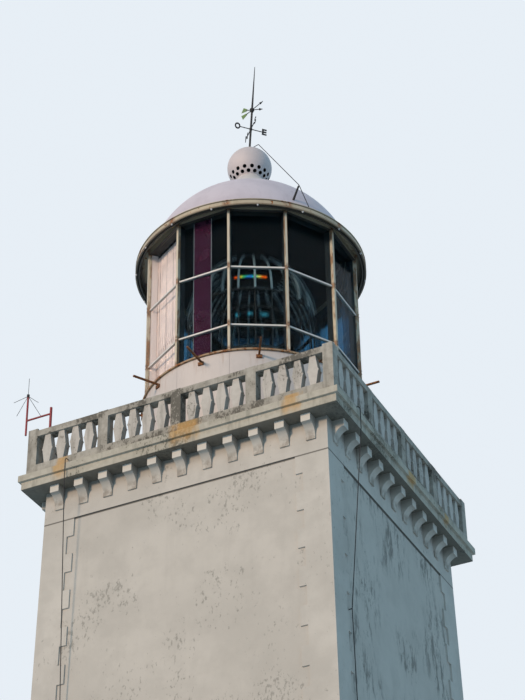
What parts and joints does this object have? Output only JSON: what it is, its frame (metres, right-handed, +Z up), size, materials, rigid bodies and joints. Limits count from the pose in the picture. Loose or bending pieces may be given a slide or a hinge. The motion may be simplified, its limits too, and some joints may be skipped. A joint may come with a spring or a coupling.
{
  "type": "lighthouse tower",
  "caption": "Square battered masonry lighthouse with a corbelled gallery, pierced concrete balustrade and a polygonal glazed lantern under a round vented dome with a wind vane.",
  "frame": {"origin": "centre of the tower's foot, at ground level", "axes": "+Z up the tower; -Y is the front, the lit face of the picture, and +X the right-hand face"},
  "size_m": [5.9998, 5.781, 27.4567],
  "materials": {
    "stucco": "rough limewashed render, stained",
    "concrete": "weathered concrete with lichen and rust stains",
    "white_paint": "chalky white paint",
    "cream_paint": "cream paint with rust at the joints",
    "rusty_iron": "bare rusty iron",
    "glazing": "clear plate glass, slightly dirty",
    "red_glass": "red sector glass",
    "lens_frame": "dull brass and gunmetal",
    "lens_glass": "polished lens glass, faintly green",
    "black_iron": "black paint",
    "red_paint": "red paint, weathered",
    "vane_fin_paint": "green and yellowish paint",
    "cloth": "thin woven curtain cloth",
    "timber": "painted planks",
    "grey_paint": "grey paint"
  },
  "bodies": {
    "tower": {"front_wall_left": "stucco", "front_wall_right": "stucco", "front_wall_over_door": "stucco", "right_wall": "stucco", "back_wall": "stucco", "left_wall": "stucco", "front_quoins": "stucco", "right_quoins": "stucco", "back_quoins": "stucco", "left_quoins": "stucco", "plinth": "concrete", "ground_floor": "concrete", "entrance_sill": "concrete", "entrance_frame": "timber", "entrance_door": "timber", "corbels": "concrete", "gallery_soffit_slab": "concrete", "gallery_floor_slab": "concrete", "balustrade_curb": "concrete", "balustrade_rails": "concrete", "balustrade_posts": "concrete", "balusters": "concrete", "drum_plates": "white_paint", "gallery_door_frame": "white_paint", "gallery_door": "white_paint", "lantern_sill": "rusty_iron", "sill_brackets": "rusty_iron", "lantern_mullions": "cream_paint", "glazing_bars": "cream_paint", "lantern_head": "cream_paint", "lantern_glass": "glazing", "sector_glass": "red_glass", "eave_band": "cream_paint", "drip_nozzles": "white_paint", "dome": "white_paint", "vent_collar": "white_paint", "vent_ball": "white_paint", "mast": "black_iron", "compass_arms": "black_iron", "optic_pedestal": "grey_paint", "optic_base_ring": "lens_frame", "optic_bars": "lens_frame", "optic_ribs": "lens_frame", "optic_lens": "lens_glass", "optic_belt_cap": "lens_frame", "optic_centre_rod": "rusty_iron", "optic_crown": "lens_frame", "optic_lamp": "lens_glass", "lantern_curtain": "cloth", "lightning_conductor": "black_iron", "conductor_standoffs": "black_iron", "aerial_stand": "red_paint", "aerial_whip": "black_iron"},
    "vane": {"vane_hub": "black_iron", "vane_arrows": "black_iron", "vane_fins": "vane_fin_paint"}
  },
  "joints": [
    {"name": "vane_spin", "type": "hinge", "parent": "tower", "child": "vane", "pos_m": [0.05588, 0.02725, 26.32321], "axis": [0.0517, 0.0252, 0.9983], "continuous": true}
  ]
}
